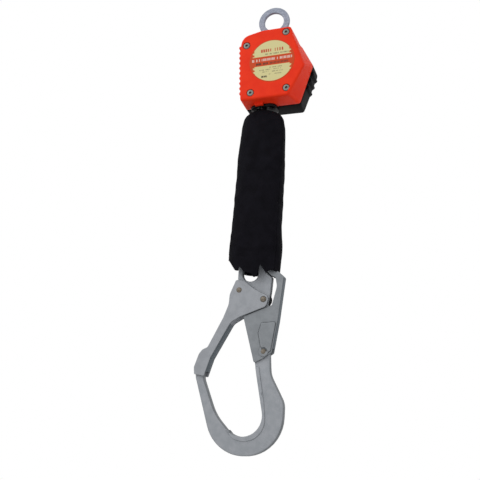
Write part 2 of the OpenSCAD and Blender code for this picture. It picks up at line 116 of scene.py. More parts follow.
BODY_OUTLINE = [[-15.4, 24, 3], [-15.2, -8, 7], [-6, -19, 8], [-5, -47, 8], [11, -99, 60],
                [30.8, -186.3, 23], [-8.5, -186.3, 23], [-31, -163.7, 60], [-49.4, -121, 20],
                [-43.9, -103, 2], [-49.5, -97.5, 4], [-56, -108, 6], [-58.4, -120.4, 20],
                [-28.7, -207.2, 44.4], [49.2, -207.2, 44.4], [48.6, -147, 22],
                [31.2, -116.5, 25], [28.9, -90, 10], [28.5, -50, 10], [24.2, -36, 6],
                [26, -22, 15], [26.9, -4.2, 2.5], [21, 0.4, 3.5], [15.8, 6.6, 7], [15.4, 24, 3],
                [9.5, 24, 2], [9.5, -9.5, 9.4], [-9.5, -9.5, 9.4], [-9.5, 24, 2]]
GATE_OUTLINE = [[-15.8, -8.7, 2.5], [-22.4, -26, 12], [-22.8, -38, 20], [-28.4, -54, 20],
                [-44.6, -88.5, 5], [-50.8, -91.5, 6], [-54.5, -96.5, 8], [-59.4, -112, 6],
                [-58.4, -120.2, 1.5], [-46.3, -122, 1.5], [-40.2, -101, 10], [-18.6, -59, 12],
                [-8, -52.3, 15], [22.5, -39.5, 6], [25.3, -27.6, 5.5], [8, -20, 60],
                [-5.5, -9.5, 5]]
LEVER_OUTLINE = [[-4.6, -51.4, 1.5], [11.6, -104.6, 2], [22.6, -98.6, 8], [31.9, -91.6, 1],
                 [36.7, -54.4, 20], [41, -3.4, 2.5], [33.6, 2.7, 6], [24, 4, 6], [20, 2.6, 1.2],
                 [26.6, -3.2, 5], [31, -4.5, 3], [33.4, -15, 15], [28.6, -37.5, 2],
                 [18, -41.5, 4]]
RIM_OUTLINE = [[13.2, -108, 0.8], [30.7, -186.2, 23], [-8.4, -186.2, 23], [-16.5, -178.3, 0.7],
               [-9, -189.4, 16], [4, -191.6, 18], [31.4, -188.2, 24], [26.5, -148, 40], [17.9, -108, 0.8]]
GATE_WEB = [[-19.7, -61, 0.3], [-21.5, -60.1, 0.3], [-42.1, -100.3, 8], [-46.7, -116, 0.3],
            [-44.8, -116.5, 0.3], [-40.3, -101, 10]]
LEVER_SPINE = [[32.5, -87, 0.3], [36.6, -54.4, 20], [40.9, -3.4, 2.5], [34.4, 2.1, 0.3],
               [33.9, -0.3, 0.3], [38.9, -4.4, 0.8], [34.6, -54.6, 20], [30.6, -87, 0.3]]
GRIP_OUTLINE = [[17.5, -58, 2.5], [14.5, -70, 4], [20, -93.5, 5], [30.6, -91, 2.5],
                [35.2, -56, 2.5], [26, -57.4, 8]]


# ---- Shapes ----

def rounded(corners, arc=9, edge=5):
    """Closed outline through the corners. Each corner is an arc of its own radius, tangent to both
    sides, and each straight stretch gets evenly spaced points, so all outlines of as many corners
    have as many points."""
    c = np.array(corners, float)
    p, r = c[:, :2], c[:, 2:]
    to = np.roll(p, -1, 0) - p
    to /= np.linalg.norm(to, axis=1, keepdims=True)
    came = np.roll(to, 1, 0)
    turn = np.arctan2(came[:, 0] * to[:, 1] - came[:, 1] * to[:, 0], (came * to).sum(1))[:, None]
    side = np.sign(turn)
    normal = np.stack([-came[:, 1], came[:, 0]], 1) * side
    start = p - came * r * np.tan(abs(turn) / 2)
    middle = start + normal * r
    swing = turn * np.linspace(0, 1, arc)[None]
    spoke = (start - middle)[:, None]
    cs, sn = np.cos(swing), np.sin(swing)
    arcs = middle[:, None] + np.stack([spoke[..., 0] * cs - spoke[..., 1] * sn,
                                       spoke[..., 0] * sn + spoke[..., 1] * cs], 2)
    share = (np.arange(edge) + 1.0)[None, :, None] / (edge + 1)
    first, last = arcs[:, -1:], np.roll(arcs[:, :1], -1, 0)
    points = np.concatenate([arcs, first + (last - first) * share], 1).reshape(-1, 2)
    area = (points[:, 0] * np.roll(points[:, 1], -1) - points[:, 1] * np.roll(points[:, 0], -1)).sum()
    return points if area > 0 else points[::-1]


def circle(x, z, r, count=64):
    """Points round a circle, anticlockwise."""
    a = np.linspace(0, 2 * pi, count, endpoint=False)
    return np.stack([x + r * np.cos(a), z + r * np.sin(a)], 1)


def inset(outline, by):
    """Each point moved inwards, square to the chord between its neighbours."""
    chord = np.roll(outline, -1, 0) - np.roll(outline, 1, 0)
    chord /= np.maximum(np.linalg.norm(chord, axis=1, keepdims=True), 1e-9)
    return outline - np.stack([chord[:, 1], -chord[:, 0]], 1) * by


def skin(rings, caps=(True, True), loop=False):
    """Surface through a stack of closed rings: a grid of four-sided faces with a flat face on the
    first and last ring, or closed on itself."""
    rows, cols = rings.shape[:2]
    i = np.arange(rows if loop else rows - 1)[:, None]
    j = np.arange(cols)[None, :]
    below, beside = (i + 1) % rows, (j + 1) % cols
    grid = [i * cols + j, below * cols + j, below * cols + beside, i * cols + beside]
    faces = np.stack(np.broadcast_arrays(*grid), -1).reshape(-1, 4).tolist()
    ends = [list(range(cols)), list(range(rows * cols - 1, rows * cols - cols - 1, -1))]
    faces += [end for end, wanted in zip(ends, caps) if wanted and not loop]
    return rings.reshape(-1, 3), faces


def joined(parts):
    """Several closed surfaces as one list of points and faces."""
    points, faces, count = [], [], 0
    for p, f in parts:
        points.append(p)
        faces += [[k + count for k in face] for face in f]
        count += len(p)
    return np.concatenate(points), faces


def inside(points, loops):
    """Even-odd test of points against closed loops, all at once."""
    count = np.zeros(len(points), int)
    x, z = points[:, :1], points[:, 1:]
    for loop in loops:
        a, b = loop, np.roll(loop, -1, 0)
        cross = (a[None, :, 1] > z) != (b[None, :, 1] > z)
        rise = b[None, :, 1] - a[None, :, 1]
        at = a[None, :, 0] + (z - a[None, :, 1]) * (b - a)[None, :, 0] / np.where(rise == 0, 1, rise)
        count += (cross & (x < at)).sum(1)
    return count % 2 == 1


def filled(loops, gap=4.0):
    """Triangles that fill the first loop and leave the others open. A grid of extra points lies
    inside, so that the flat can bend. Gives the extra points and the triangles."""
    rim = np.concatenate(loops)
    low, high = rim.min(0), rim.max(0)
    grid = np.stack(np.meshgrid(np.arange(low[0], high[0], gap), np.arange(low[1], high[1], gap)), -1)
    grid = grid.reshape(-1, 2)
    grid = grid[inside(grid, loops)]
    if len(grid):
        away = np.sqrt(((grid[:, None] - rim[None]) ** 2).sum(2)).min(1)
        grid = grid[away > gap * 0.45]
    points = np.concatenate([rim, grid])
    starts = np.cumsum([0] + [len(loop) for loop in loops])
    edges = [(int(s + k), int(s + (k + 1) % len(loop)))
             for s, loop in zip(starts, loops) for k in range(len(loop))]
    made = delaunay_2d_cdt([Vector(p) for p in points.tolist()], edges, [], 0, 1e-5)
    fresh = [k for k, origins in enumerate(made[3]) if not origins]
    first = np.array([origins[0] if origins else 0 for origins in made[3]])
    first[fresh] = len(points) + np.arange(len(fresh))
    crossings = np.array([tuple(made[0][k]) for k in fresh], float).reshape(-1, 2)
    grid, points = np.concatenate([grid, crossings]), np.concatenate([points, crossings])
    triangles = first[np.array(made[2])]
    keep = inside(points[triangles].mean(1), loops)
    return grid, triangles[keep]


def edge_profile(edge, steps):
    """Quarter circle from the flat of a face to its side, as (inset, depth below the face)."""
    a = np.linspace(0, pi / 2, steps)
    arc = np.stack([edge * (1 - np.sin(a)), edge * (1 - np.cos(a))], 1)
    return np.concatenate([[[edge + 0.08, 0]], arc])


def plate(outline, front, back, edge=0.6, holes=(), steps=4, bow=None):
    """Flat plate with rounded edges: the outline follows a quarter circle, the side and a quarter
    circle, and the two flats are cut open at the holes, whose walls run straight through. bow gives
    how far each point moves in depth, front and back in opposite ways."""
    profile = edge_profile(edge, steps)

    def level(shape, grow, y, sign):
        xz = inset(shape, grow) if grow else shape
        y = np.full(len(xz), float(y)) + (0 if bow is None else sign * bow(xz))
        return np.stack([xz[:, 0], y, xz[:, 1]], 1)

    def wall(shape, sign_in):
        near = [level(shape, sign_in * d, front + t, -1) for d, t in profile]
        far = [level(shape, sign_in * d, back - t, 1) for d, t in profile[::-1]]
        return np.stack(near + far)

    walls = [skin(wall(outline, 1), (False, False))]
    walls += [skin(wall(h, -1), (False, False)) for h in holes]
    points, faces = joined(walls)
    counts = [len(s) for s in (outline, *holes)]
    rows = 2 * len(profile)
    starts = np.cumsum([0] + [rows * c for c in counts])
    for row, y, sign in ((0, front, -1), (rows - 1, back, 1)):
        index = np.concatenate([s + row * c + np.arange(c) for s, c in zip(starts, counts)])
        loops = np.split(index, np.cumsum(counts)[:-1])
        grid, triangles = filled([points[loop][:, [0, 2]] for loop in loops])
        index = np.concatenate([index, len(points) + np.arange(len(grid))])
        points = np.concatenate([points, level(grid, 0, y, sign)]) if len(grid) else points
        faces += index[triangles].tolist()
    return points, faces


def turned(profile, x, z, sides=48, socket=None):
    """Solid of revolution about a line in depth through (x, z): the profile is (radius, y). A socket
    (radius, depth) sinks a six-sided hole into the first end."""
    a = np.linspace(0, 2 * pi, sides, endpoint=False)
    radius = [np.full(sides, float(r)) for r, _ in profile]
    depth = [y for _, y in profile]
    if socket:
        hexagon = socket[0] * np.cos(pi / 6) / np.cos((a + pi / 6) % (pi / 3) - pi / 6)
        radius = [hexagon * 0.9, hexagon * 0.94, hexagon] + radius
        depth = [profile[0][1] + socket[1], profile[0][1] + socket[1] * 0.94, profile[0][1]] + depth
    rings = [np.stack([x + r * np.cos(a), np.full(sides, y), z + r * np.sin(a)], 1)
             for r, y in zip(radius, depth)]
    return skin(np.stack(rings))


def tube(path, r, sides=10):
    """Round wire along a path: a circle stands square to the path at each point."""
    t = np.gradient(path, axis=0)
    t /= np.linalg.norm(t, axis=1, keepdims=True)
    side = np.cross(t, DEPTH)
    side /= np.linalg.norm(side, axis=1, keepdims=True)
    up = np.cross(side, t)
    a = np.linspace(0, 2 * pi, sides, endpoint=False)[None, :, None]
    return skin(path[:, None] + r * (np.cos(a) * side[:, None] + np.sin(a) * up[:, None]))


def smooth_step(value, start, end):
    """0 before start, 1 after end, and an S between them."""
    t = np.clip((value - start) / (end - start), 0, 1)
    return t * t * (3 - 2 * t)


def put(name, shape, place, finish, body, replaces=(), crease=34, painted_shade_sides=None):
    """Makes the mesh object, turns its faces outwards, and ties it to its CAD body and nodes. Where a
    second finish is given, it covers the faces that look sideways: painted shade on the side walls."""
    points, faces = shape
    origin, right, up = place
    world = origin + points[:, :1] * right + points[:, 1:2] * DEPTH + points[:, 2:] * up
    if place is LANYARD_PLACE or place is HOOK_PLACE:
        world[:, 1] = MOUTH[1] + points[:, 1]
    mesh = bpy.data.meshes.new(name)
    mesh.from_pydata((world * MM).tolist(), [], faces)
    bm = bmesh.new()
    bm.from_mesh(mesh)
    bmesh.ops.recalc_face_normals(bm, faces=bm.faces)
    bm.to_mesh(mesh)
    bm.free()
    mesh.shade_smooth()
    mesh.set_sharp_from_angle(angle=radians(crease))
    piece = bpy.data.objects.new(name, mesh)
    bpy.context.scene.collection.objects.link(piece)
    mesh.materials.append(finish)
    # faces that look sideways get the darker finish, which is painted shade
    if painted_shade_sides:
        facing = np.zeros(len(mesh.polygons) * 3, np.float32)
        mesh.polygons.foreach_get("normal", facing)
        mesh.materials.append(painted_shade_sides)
        mesh.polygons.foreach_set("material_index", (abs(facing[1::3]) < 0.5).astype(np.int32))
    if body:
        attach(piece, body)
    if replaces:
        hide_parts(*replaces)
    return piece


# ---- Finishes ----

def srgb(r, g, b):
    """Display colour as the linear colour that the shader wants."""
    v = np.array([r, g, b]) / 255
    return [*np.where(v <= 0.04045, v / 12.92, ((v + 0.055) / 1.055) ** 2.4).tolist(), 1]


def finish(name, colour, metallic=0.0, roughness=0.5, second=None, grain=300.0, mix=(0.4, 0.6),
           bump=0.0, bump_grain=900.0, specular=0.5, sheen=0.0, coat=0.0):
    """One finish: a base colour that drifts towards a second one in soft blotches, and a fine bump,
    both on Object coordinates."""
    material = bpy.data.materials.new(name)
    material.use_nodes = True
    nodes, links = material.node_tree.nodes, material.node_tree.links
    shader = nodes["Principled BSDF"]
    shader.inputs["Base Color"].default_value = srgb(*colour)
    shader.inputs["Metallic"].default_value = metallic
    shader.inputs["Roughness"].default_value = roughness
    shader.inputs["Specular IOR Level"].default_value = specular
    shader.inputs["Sheen Weight"].default_value = sheen
    shader.inputs["Coat Weight"].default_value = coat
    where = nodes.new("ShaderNodeTexCoord")
    if second:
        noise = nodes.new("ShaderNodeTexNoise")
        noise.inputs["Scale"].default_value = grain
        noise.inputs["Detail"].default_value = 4
        ramp = nodes.new("ShaderNodeValToRGB")
        ramp.color_ramp.elements[0].position, ramp.color_ramp.elements[1].position = mix
        ramp.color_ramp.elements[0].color = srgb(*colour)
        ramp.color_ramp.elements[1].color = srgb(*second)
        links.new(where.outputs["Object"], noise.inputs["Vector"])
        links.new(noise.outputs["Fac"], ramp.inputs["Fac"])
        links.new(ramp.outputs["Color"], shader.inputs["Base Color"])
    if bump:
        rough = nodes.new("ShaderNodeTexNoise")
        rough.inputs["Scale"].default_value = bump_grain
        rough.inputs["Detail"].default_value = 3
        push = nodes.new("ShaderNodeBump")
        push.inputs["Strength"].default_value = bump
        push.inputs["Distance"].default_value = 0.0003
        links.new(where.outputs["Object"], rough.inputs["Vector"])
        links.new(rough.outputs["Fac"], push.inputs["Height"])
        links.new(push.outputs["Normal"], shader.inputs["Normal"])
    return material


def printed_finish():
    """Satin label film whose colours are in the mesh's own colour attribute."""
    material = finish("label_film", (214, 206, 150), roughness=0.5, bump=0.05, specular=0.2)
    nodes, links = material.node_tree.nodes, material.node_tree.links
    ink = nodes.new("ShaderNodeAttribute")
    ink.attribute_name = "ink"
    links.new(ink.outputs["Color"], nodes["Principled BSDF"].inputs["Base Color"])
    return material


def cloth_finish(name, colour, second, threads=1500.0):
    """Woven cloth: two sets of fine threads cross on the piece's own UV map, and the colour drifts."""
    material = finish(name, colour, roughness=0.92, second=second, grain=90.0, mix=(0.35, 0.7),
                      specular=0.08)
    nodes, links = material.node_tree.nodes, material.node_tree.links
    where = nodes.new("ShaderNodeUVMap")
    where.uv_map = "weave"
    height = nodes.new("ShaderNodeMath")
    height.operation = "ADD"
    for k, way in enumerate(("X", "Y")):
        wave = nodes.new("ShaderNodeTexWave")
        wave.bands_direction = way
        wave.inputs["Scale"].default_value = threads
        wave.inputs["Distortion"].default_value = 1.0
        links.new(where.outputs["UV"], wave.inputs["Vector"])
        links.new(wave.outputs["Fac"], height.inputs[k])
    push = nodes.new("ShaderNodeBump")
    push.inputs["Strength"].default_value = 0.35
    push.inputs["Distance"].default_value = 0.0002
    links.new(height.outputs["Value"], push.inputs["Height"])
    links.new(push.outputs["Normal"], nodes["Principled BSDF"].inputs["Normal"])
    return material


FINISH = {
    "orange_shell": finish("orange_shell", (222, 50, 20), roughness=0.5, second=(216, 45, 18),
                           grain=60, bump=0.12, bump_grain=1800, specular=0.09),
    "black_shell": finish("black_shell", (10, 9, 12), roughness=0.55, second=(7, 6, 9),
                          bump=0.2, bump_grain=1500, specular=0.06),
    "label": printed_finish(),
    "screw": finish("screw_steel", (124, 124, 119), metallic=0.6, roughness=0.42,
                    second=(104, 104, 100), grain=700, specular=0.3),
    "galvanised": finish("galvanised", (146, 151, 165), metallic=0.35, roughness=0.55,
                         second=(122, 129, 143), grain=420, mix=(0.35, 0.65), bump=0.35,
                         bump_grain=1100),
    "steel": finish("turned_steel", (150, 152, 155), metallic=0.9, roughness=0.3,
                    second=(138, 140, 143)),
    "spring_steel": finish("spring_steel", (96, 98, 104), metallic=0.9, roughness=0.35,
                           second=(84, 86, 92)),
    "pressed_metal": finish("pressed_metal", (150, 152, 154), metallic=0.8, roughness=0.42,
                            second=(138, 140, 142)),
    "brass": finish("brass", (190, 158, 84), metallic=0.9, roughness=0.35, second=(176, 144, 74)),
    "bronze": finish("bronze", (168, 124, 78), metallic=0.8, roughness=0.42,
                     second=(150, 110, 70)),
    "black_plastic": finish("black_plastic", (12, 11, 13), roughness=0.3, second=(9, 8, 10),
                            bump=0.1, specular=0.16),
    "webbing": cloth_finish("webbing_black", (14, 13, 16), (20, 19, 23), 900.0),
    "cover": cloth_finish("cover_cloth", (11, 10, 15), (17, 16, 22)),
    "buffer": finish("buffer_rubber", (40, 38, 41), roughness=0.8, second=(34, 32, 36)),
    # painted shade: darker copy of the hook alloy for the body's side walls, where shade falls
    "hook_side_painted_shade": finish("hook_side_painted_shade", (104, 108, 112), metallic=0.3, roughness=0.5,
                          second=(96, 100, 104), grain=120, specular=0.3),
    # painted shade: darker copy of the alloy for the gate's and lever's side walls, standing in for the shadow
    # lines along their edges
    "plate_side_painted_shade": finish("plate_side_painted_shade", (62, 68, 74), metallic=0.3, roughness=0.5,
                           second=(54, 60, 66), grain=120, specular=0.3),
    # painted shade: dark blue-grey for the gate's inner web and the lever's spine, which sit in shade
    "painted_shade_alloy": finish("painted_shade_alloy", (74, 84, 92), metallic=0.2, roughness=0.5,
                           second=(66, 76, 84), grain=120, specular=0.3),
    "hook_alloy": finish("hook_alloy", (147, 150, 155), metallic=0.3, roughness=0.5,
                         second=(139, 143, 148), grain=120, bump=0.15, bump_grain=1300,
                         specular=0.35),
    "gate_alloy": finish("gate_alloy", (144, 147, 152), metallic=0.3, roughness=0.48,
                         second=(137, 140, 145), grain=120, bump=0.15, bump_grain=1300),
    "lever_alloy": finish("lever_alloy", (127, 131, 135), metallic=0.3, roughness=0.5,
                          second=(120, 124, 128), grain=120, bump=0.15, bump_grain=1300),
    "rivet": finish("rivet_steel", (118, 109, 97), metallic=0.4, roughness=0.42,
                    second=(98, 90, 78), grain=500),
    "dark_wire": finish("dark_wire", (20, 21, 25), metallic=0.4, roughness=0.35),
}


def paint_frame():
    """Gives each CAD node the finish of its record slot."""
    for row in frame["record"]["subparts"]:
        mesh = frame["nodes"][row["node"]].data
        mesh.materials.clear()
        mesh.materials.append(FINISH[row["material_slot"]])


# ---- Case ----

def lofted_case(first, last, y0, y1, profile):
    """Rings of the case: at each (inset, y) of the profile the outline lies between the first and
    the last one, as far along as y is between y0 and y1, and moves in by the inset."""
    rings = []
    for by, y in profile:
        share = np.clip((y - y0) / (y1 - y0), 0, 1)
        xz = inset(first + (last - first) * share, by)
        rings.append(np.stack([xz[:, 0], np.full(len(xz), y), xz[:, 1]], 1))
    return np.stack(rings)


def front_shell():
    """Tapered cap with a soft front edge, sunk screw seats, ten grip bumps and the mouth lug."""
    first, last = rounded(FACE_OUTLINE, 12, 6), rounded(CASE_OUTLINE, 12, 6)
    edge, wall = 2.4, 2.6
    front = [(d, FACE_Y + t) for d, t in edge_profile(edge, 6)]
    side = [(0, y) for y in np.linspace(FACE_Y + edge + 2, JOIN_Y - 1, 6)]
    inner = [(0.5, JOIN_Y), (wall, JOIN_Y), (wall, FACE_Y + wall + 2)]
    rings = lofted_case(first, last, FACE_Y, JOIN_Y, front + side + inner)
    points, faces = skin(rings, (False, True))
    seat_r, seat_deep = HEAD_R + 0.55, 2.5
    seats = [circle(x, z, seat_r) for x, z in SCREWS]
    loops = [np.arange(len(first))]
    for seat in seats:
        a = np.concatenate([inset(seat, -0.35), seat, seat])
        y = np.repeat([FACE_Y, FACE_Y + 0.35, FACE_Y + seat_deep], len(seat))
        ring = np.stack([a[:, 0], y, a[:, 1]], 1).reshape(3, -1, 3)
        p, f = skin(ring, (False, True))
        loops.append(len(points) + np.arange(len(seat)))
        faces += [[k + len(points) for k in face] for face in f]
        points = np.concatenate([points, p])
    index = np.concatenate(loops)
    grid, triangles = filled([points[loop][:, [0, 2]] for loop in loops], 12.0)
    index = np.concatenate([index, len(points) + np.arange(len(grid))])
    flat = np.stack([grid[:, 0], np.full(len(grid), FACE_Y), grid[:, 1]], 1)
    faces += index[triangles].tolist()
    parts = [(np.concatenate([points, flat]), faces)]
    for i in range(10):
        r, z = 2.0, 24.5 - 6.9 * i
        profile = [(0.7 * r, FACE_Y + 1.2), (r, FACE_Y + 2.6), (r, JOIN_Y - 1), (0.8 * r, JOIN_Y - 0.2)]
        parts.append(turned(profile, -40.5, z, 24))
    lug = [[MOUTH[0] - 8.5, -CASE_DOWN - 3, 0.9], [MOUTH[0] + 2, -CASE_DOWN - 3, 0.9],
           [MOUTH[0] + 2, -CASE_DOWN + 1, 0.9], [MOUTH[0] - 8.5, -CASE_DOWN + 1, 0.9]]
    parts.append(plate(rounded(lug), -6, -0.6, 0.6))
    return put("front_shell_fine", joined(parts), CASE_PLACE, FINISH["orange_shell"], "housing",
               ["front_shell"])


def rear_shell():
    """Black cap set in by a fine step at the join, with a rounded back and three flank teeth."""
    first, last = rounded(CASE_OUTLINE, 12, 6), rounded(REAR_OUTLINE, 12, 6)
    edge = 2.2
    start = [(2.6, JOIN_Y + 0.3), (0.9, JOIN_Y + 0.3), (0.4, JOIN_Y + 0.8)]
    side = [(0.1, y) for y in np.linspace(JOIN_Y + 2, REAR_Y - edge, 6)]
    back = [(d, REAR_Y - t) for d, t in edge_profile(edge, 6)[::-1]]
    parts = [skin(lofted_case(first, last, JOIN_Y, JOIN_Y + 12, start + side + back[1:]))]
    low, high = (np.array(REAR_OUTLINE[k][:2]) for k in (1, 2))
    along = (low - high) / np.linalg.norm(low - high)
    out = np.array([-along[1], along[0]])
    for i in range(3):
        foot = high + along * (4.5 + 9.2 * i)
        corners = [foot - out - along, foot + out * 1.9 + along * 3, foot + out * 1.7 + along * 4.6,
                   foot - out + along * 8.4]
        tooth = rounded([[*c, r] for c, r in zip(corners, (0.5, 0.8, 0.8, 0.5))])
        parts.append(plate(tooth, JOIN_Y + 2, REAR_Y - 1.5, 0.3))
    parts.append(turned([(21.4, REAR_Y - 1), (21.4, REAR_Y + 0.3), (20.8, REAR_Y + 0.7),
                         (18.2, REAR_Y + 0.7), (17.6, REAR_Y + 0.2), (0.2, REAR_Y + 0.2)], 0, 0, 96))
    return put("rear_shell_fine", joined(parts), CASE_PLACE, FINISH["black_shell"], "housing",
               ["rear_shell"])


def cover_screws():
    """Button heads with a bevel and a six-sided socket, and their shanks."""
    top = FACE_Y + 0.15
    profile = [(HEAD_R - 0.9, top), (HEAD_R - 0.4, top + 0.1), (HEAD_R, top + 0.6), (HEAD_R, top + 2.3),
               (1.6, top + 2.3), (1.6, JOIN_Y + 7), (1.2, JOIN_Y + 7.4)]
    parts = [turned(profile, x, z, socket=(1.9, 2.1)) for x, z in SCREWS]
    return put("cover_screws_fine", joined(parts), CASE_PLACE, FINISH["screw"], "housing",
               ["cover_screws"])


def dashes(x, z, span, middle, tall, pitch, fill=0.62, seed=1.0):
    """Row of upright dashes of uneven width: true inside them."""
    cell = np.floor((x - span[0]) / pitch)
    wide = fill + 0.22 * np.sin(seed * 5.3 * cell + seed)
    gap = np.sin(seed * 2.1 * cell + 0.7) > 0.86
    inside = (x > span[0]) & (x < span[1]) & (abs(z - middle) < tall / 2) & ~gap
    return inside & (((x - span[0]) / pitch) % 1 < wide)


def label_ink(x, z):
    """Colours of the label: cream field, orange rim, ragged sides, middle band and plain dashes."""
    r = np.hypot(x, z)
    cream, rim = srgb(200, 192, 138), srgb(186, 62, 12)
    red, grey, dark, pale = srgb(178, 76, 50), srgb(124, 118, 90), srgb(50, 43, 34), srgb(206, 176, 166)
    ragged = 22.9 + 0.9 * np.sign(np.sin(z * 1.25)) + 0.5 * np.sin(z * 2.9)
    speck = 0.5 + 0.5 * np.sin(x * 9.1 + 3 * np.sin(z * 7.7)) * np.sin(z * 8.3 + 2 * np.sin(x * 5.9))
    colour = np.array(cream)[None] * (0.94 + 0.06 * speck[:, None])
    band = abs(z - 0.3) < 6.3
    rows = [(dashes(x, z, (-13.5, 15.5), 14.3, 4.2, 2.9, 0.55, 1.3), red),
            (dashes(x, z, (-8, 21), 9.3, 1.9, 1.35, 0.6, 2.1), grey),
            (dashes(x, z, (-3, 13), -9.0, 1.3, 1.0, 0.6, 1.7), grey),
            (dashes(x, z, (-16, -1), -11.6, 1.3, 1.0, 0.6, 2.6), grey),
            (dashes(x, z, (2, 11), -11.6, 1.3, 1.0, 0.6, 0.9), grey),
            (dashes(x, z, (-12, -4), -14.2, 1.3, 1.0, 0.6, 1.1), grey),
            (dashes(x, z, (0, 14), -14.6, 1.3, 1.0, 0.6, 2.3), grey),
            (dashes(x, z, (-4, 12), -18, 1.3, 1.0, 0.6, 3.1), grey),
            (dashes(x, z, (-13.5, -6.5), -20.5, 2.4, 1.7, 0.72, 1.9), dark)]
    for mask, ink in rows:
        colour[mask] = ink
    colour[(r > 27.0) | (abs(x) > ragged) | band] = rim
    colour[dashes(x, z, (-25, 25.5), 2.2, 3.3, 1.75, 0.66, 1.6)] = pale
    colour[dashes(x, z, (-20, 20.5), -3.0, 2.8, 1.75, 0.66, 2.4)] = dark
    return colour


def label_disc():
    """Thin disc: rings run up the rim and in to the middle. The ink is worked out point by point."""
    sides, count = 420, 104
    radii = [LABEL_R, LABEL_R, LABEL_R - 0.25, *np.linspace(LABEL_R - 0.5, 0.15, count)]
    level = [LABEL_T, -0.05, -0.2, *np.full(count, -0.2)]
    a = np.linspace(0, 2 * pi, sides, endpoint=False)
    rings = np.stack([np.stack([r * np.cos(a), np.full(sides, FACE_Y + y), r * np.sin(a)], 1)
                      for r, y in zip(radii, level)])
    piece = put("label_disc_fine", skin(rings), CASE_PLACE, FINISH["label"], "housing",
                ["label_disc"])
    points = rings.reshape(-1, 3)
    ink = piece.data.color_attributes.new("ink", "FLOAT_COLOR", "POINT")
    ink.data.foreach_set("color", label_ink(points[:, 0], points[:, 2]).astype(np.float32).ravel())
    return piece


def box_ring(wide, deep, r, z, arc=9, edge=5):
    """Rounded rectangle in the level plane."""
    x, y = wide / 2, deep / 2
    p = rounded([[-x, -y, r], [x, -y, r], [x, y, r], [-x, y, r]], arc, edge)
    return np.stack([p[:, 0], p[:, 1], np.full(len(p), z)], 1)


def mouth_guide():
    """Rounded collar under the case with a rolled slot for the webbing: one closed profile of
    rounded rectangles, out, down, in and up, with a short throat inside it."""
    drop = 3.6
    rings = [box_ring(33, 27, 9, 1.5), box_ring(33, 27, 9, -drop + 1.6),
             box_ring(32.2, 26.2, 8.6, -drop + 0.5), box_ring(30.4, 24.4, 7.7, -drop),
             box_ring(14.6, 23.2, 4.2, -drop),
             box_ring(12.4, 21.4, 3.2, -drop + 0.5), box_ring(11.2, 20.4, 2.6, -drop + 1.8),
             box_ring(11.2, 20.4, 2.6, 4), box_ring(24, 22, 2.6, 4)]
    place = (MOUTH, SQUARE_X, SQUARE_Z)
    throat = skin(np.stack([box_ring(13, 22, 2.6, 0.6), box_ring(13, 22, 2.6, -0.4)]))
    collar = skin(np.stack(rings), loop=True)
    return put("mouth_guide_fine", joined([collar, throat]), place, FINISH["black_plastic"],
               "housing", ["mouth_guide"])


def anchor_plate():
    """Pressed plate: the eye, a neck into the case, and the cheek behind it, with rounded edges."""
    half = PLATE_T / 2
    eye = plate(circle(0, 0, EYE_R, 128), -half, half, 0.9, [circle(0, 0, EYE_HOLE_R, 96)], 5)
    neck = plate(rounded(NECK_OUTLINE), -half + 0.02, half - 0.02, 0.4)
    cheek = [[-20, 37, 2], [-26.6, 21, 4], [-28, -33.2, 3], [28.2, -33.2, 2], [34.5, -12, 6],
             [35.5, 4, 8], [25, 27, 5], [13, 37, 1]]
    low = plate(rounded(cheek), -half, half, 0.4, [circle(0, 0, 9)])
    low = (low[0] + [0, 0, DRUM[2]], low[1])
    return put("anchor_plate_fine", joined([eye, neck, low]), EYE_PLACE, FINISH["galvanised"],
               "housing", ["anchor_plate"])


# ---- Lanyard ----

SIDE_LEFT = [[0, 7.8], [0.6, 12.5], [1.6, 17.5], [3, 19.6], [5.6, 23], [10, 25.4], [21, 27.2], [45, 28.6],
             [65, 29.5], [117, 30], [154, 30.6], [169, 32.2], [182, 32.4], [190, 31.2], [200, 29]]
SIDE_RIGHT = [[0, 7.8], [0.6, 12.5], [1.6, 17], [3, 19.6], [5.6, 22.6], [10, 24.8], [21, 27], [45, 28.5],
              [65, 29.4], [117, 30], [154, 30.3], [171, 32.2], [186, 32.2], [200, 31.4]]
HALF_DEPTH = [[0, 11.8], [0.8, 12.4], [3, 13.6], [8, 15], [24, 16.3], [68, 17.3], [120, 17.5], [158, 17.5],
              [178, 17], [200, 15.6]]
HEM_FRONT = [[-40, 21], [-26.5, 15], [-20, 5], [-17.6, 1.9], [-13.4, 1.1], [-11.8, 6.2], [-10.6, 5.6],
             [-6.4, 0.2], [-1, -0.9], [3.9, -1.9], [5.5, -3.7], [7, -6.4], [8.2, -6.5], [11.0, -4.9],
             [12.4, 4.3], [14.2, 8.2], [15.2, 7.4], [18, 3.4], [21.4, -1.7], [22.8, 1.3], [26.5, 2.8],
             [32, 2.2], [40, 0.8]]
HEM_BACK = [[-40, 21], [-26.5, 15], [-20, 6], [-16, 2.5], [-8, 1.5], [6, 0.6], [20, 0], [40, -0.6]]
FRONT_FOLDS = [((18, -58), (31, -34), 1.3, 3.0), ((4, -92), (27, -62), 1.0, 4.0),
               ((-24, -40), (-6, -66), 0.7, 4.0), ((20, -104), (28, -150), 0.9, 2.2),
               ((-27, -122), (-12, -108), 0.7, 3.4), ((-29, -176), (-2, -184), 1.3, 3.2),
               ((0, -184), (27, -176), 1.0, 3.4), ((-22, -189), (20, -191), 0.8, 2.6),
               ((-16, -152), (16, -158), 0.6, 5.0), ((-30, -165), (-16, -172), 0.9, 2.6),
               ((8, -24), (22, -16), 0.8, 2.4), ((-20, -16), (-8, -27), 0.7, 2.6)]
BACK_FOLDS = [((-26, -60), (4, -88), 1.1, 4.0), ((6, -44), (27, -64), 0.8, 3.4),
              ((-24, -170), (24, -180), 1.3, 3.6), ((-18, -120), (16, -138), 0.7, 5.0),
              ((-22, -188), (10, -190), 0.8, 2.6)]


